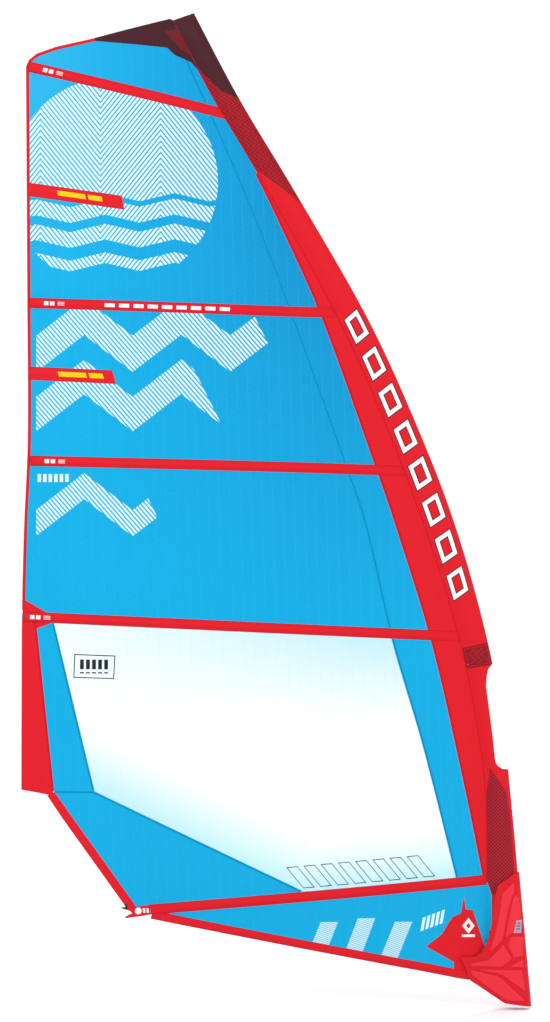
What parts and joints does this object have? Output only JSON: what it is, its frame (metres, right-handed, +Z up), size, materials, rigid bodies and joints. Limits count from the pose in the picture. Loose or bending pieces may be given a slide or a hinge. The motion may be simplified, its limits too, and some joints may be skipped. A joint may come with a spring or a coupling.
{
  "type": "windsurf sail",
  "caption": "Upright windsurf sail with film panels, full battens in pockets, hollow mast sleeve with boom cut-out, clew eyelet and padded tack fairing over a pulley block.",
  "frame": {"origin": "where the mast's axis meets the foot of the luff, under the tack fairing", "axes": "+Z up the mast, +X from the leech towards the mast, the belly of the sail towards -Y"},
  "size_m": [2.2033, 0.1111, 4.289],
  "materials": {
    "blue_film": "translucent blue laminated film with a fine thread grid",
    "clear_film": "clear window film, slightly milky",
    "red_cloth": "red woven polyester",
    "padded_cloth": "red woven polyester over foam pads",
    "maroon_cloth": "dark maroon reinforced cloth",
    "batten_fibre": "glass and carbon fibre rod, satin",
    "black_plastic": "moulded black plastic",
    "steel": "polished stainless steel",
    "webbing": "woven polyester webbing"
  },
  "bodies": {
    "sail": {"batten_pocket_1": "red_cloth", "batten_pocket_2": "red_cloth", "batten_pocket_3": "red_cloth", "batten_pocket_4": "red_cloth", "batten_pocket_5": "red_cloth", "clew_eyelet": "steel", "clew_panel": "blue_film", "clew_patch": "red_cloth", "foot_panel": "blue_film", "foot_tape": "red_cloth", "head_luff_panel": "blue_film", "head_panel": "blue_film", "head_patch": "maroon_cloth", "leech_strip": "blue_film", "leech_tape": "red_cloth", "lower_leech_panel": "red_cloth", "lower_luff_panel": "blue_film", "lower_panel": "blue_film", "luff_band_boom": "red_cloth", "luff_band_lower": "red_cloth", "luff_band_middle": "red_cloth", "luff_band_upper": "red_cloth", "mast_tip_cup": "black_plastic", "middle_luff_panel": "blue_film", "middle_panel": "blue_film", "mini_batten_lower": "batten_fibre", "mini_batten_lower_pocket": "red_cloth", "mini_batten_upper": "batten_fibre", "mini_batten_upper_pocket": "red_cloth", "sleeve_boom_cutout": "red_cloth", "sleeve_lower": "red_cloth", "sleeve_middle": "red_cloth", "sleeve_upper": "red_cloth", "tack_fairing_back": "padded_cloth", "tack_patch": "red_cloth", "tack_strap": "webbing", "tensioner_housing_1": "black_plastic", "tensioner_housing_2": "black_plastic", "tensioner_housing_3": "black_plastic", "tensioner_housing_4": "black_plastic", "tensioner_housing_5": "black_plastic", "upper_luff_panel": "blue_film", "upper_panel": "blue_film", "window": "clear_film", "window_luff_panel": "blue_film"},
    "batten_1": {"batten_1": "batten_fibre"},
    "screw_1": {"tensioner_screw_1": "steel"},
    "batten_2": {"batten_2": "batten_fibre"},
    "screw_2": {"tensioner_screw_2": "steel"},
    "batten_3": {"batten_3": "batten_fibre"},
    "screw_3": {"tensioner_screw_3": "steel"},
    "batten_4": {"batten_4": "batten_fibre"},
    "screw_4": {"tensioner_screw_4": "steel"},
    "batten_5": {"batten_5": "batten_fibre"},
    "screw_5": {"tensioner_screw_5": "steel"},
    "tack_pulley": {"pulley_block": "steel"},
    "sheave_1": {"sheave_1": "black_plastic"},
    "sheave_2": {"sheave_2": "black_plastic"},
    "sheave_3": {"sheave_3": "black_plastic"},
    "fairing_flap": {"tack_fairing_flap": "padded_cloth"}
  },
  "joints": [
    {"name": "batten_1_slide", "type": "slide", "parent": "sail", "child": "batten_1", "axis": [-0.9689, 0.0808, 0.2337], "range_m": [0, 0.008]},
    {"name": "screw_1_turn", "type": "hinge", "parent": "sail", "child": "screw_1", "pos_m": [-2.1235, -0.00164, 4.0603], "axis": [-0.9689, 0.0808, 0.2337], "range_deg": [0, 1441]},
    {"name": "batten_2_slide", "type": "slide", "parent": "sail", "child": "batten_2", "axis": [-0.995, 0.093, 0.0356], "range_m": [0, 0.008]},
    {"name": "screw_2_turn", "type": "hinge", "parent": "sail", "child": "screw_2", "pos_m": [-2.121, -0.00152, 3.04121], "axis": [-0.995, 0.093, 0.0356], "range_deg": [0, 1441]},
    {"name": "batten_3_slide", "type": "slide", "parent": "sail", "child": "batten_3", "axis": [-0.995, 0.0964, 0.0249], "range_m": [0, 0.008]},
    {"name": "screw_3_turn", "type": "hinge", "parent": "sail", "child": "screw_3", "pos_m": [-2.118, -0.00268, 2.35937], "axis": [-0.995, 0.0964, 0.0249], "range_deg": [0, 1441]},
    {"name": "batten_4_slide", "type": "slide", "parent": "sail", "child": "batten_4", "axis": [-0.9954, 0.085, 0.0432], "range_m": [0, 0.008]},
    {"name": "screw_4_turn", "type": "hinge", "parent": "sail", "child": "screw_4", "pos_m": [-2.158, 0, 1.68678], "axis": [-0.9954, 0.085, 0.0432], "range_deg": [0, 1441]},
    {"name": "batten_5_slide", "type": "slide", "parent": "sail", "child": "batten_5", "axis": [-0.9943, 0.0608, -0.0874], "range_m": [0, 0.008]},
    {"name": "screw_5_turn", "type": "hinge", "parent": "sail", "child": "screw_5", "pos_m": [-1.6, -0.00917, 0.42272], "axis": [-0.9943, 0.0608, -0.0874], "range_deg": [0, 1441]},
    {"name": "pulley_swing", "type": "hinge", "parent": "sail", "child": "tack_pulley", "pos_m": [-0.1, 0, 0.1465], "axis": [1, 0, 0], "range_deg": [-12, 12]},
    {"name": "sheave_1_spin", "type": "hinge", "parent": "tack_pulley", "child": "sheave_1", "pos_m": [-0.1091, 0, 0.1115], "axis": [1, 0, 0], "continuous": true},
    {"name": "sheave_2_spin", "type": "hinge", "parent": "tack_pulley", "child": "sheave_2", "pos_m": [-0.1, 0, 0.1115], "axis": [1, 0, 0], "continuous": true},
    {"name": "sheave_3_spin", "type": "hinge", "parent": "tack_pulley", "child": "sheave_3", "pos_m": [-0.0909, 0, 0.1115], "axis": [1, 0, 0], "continuous": true},
    {"name": "fairing_flap_open", "type": "hinge", "parent": "sail", "child": "fairing_flap", "pos_m": [0.04104, 0, 0.004], "axis": [-0.0896, 0, 0.996], "range_deg": [0, 120]}
  ],
  "couplings": [
    {"joint": "screw_1_turn", "follows": "batten_1_slide", "rad_per_m": 3141.6},
    {"joint": "screw_2_turn", "follows": "batten_2_slide", "rad_per_m": 3141.6},
    {"joint": "screw_3_turn", "follows": "batten_3_slide", "rad_per_m": 3141.6},
    {"joint": "screw_4_turn", "follows": "batten_4_slide", "rad_per_m": 3141.6},
    {"joint": "screw_5_turn", "follows": "batten_5_slide", "rad_per_m": 3141.6}
  ]
}
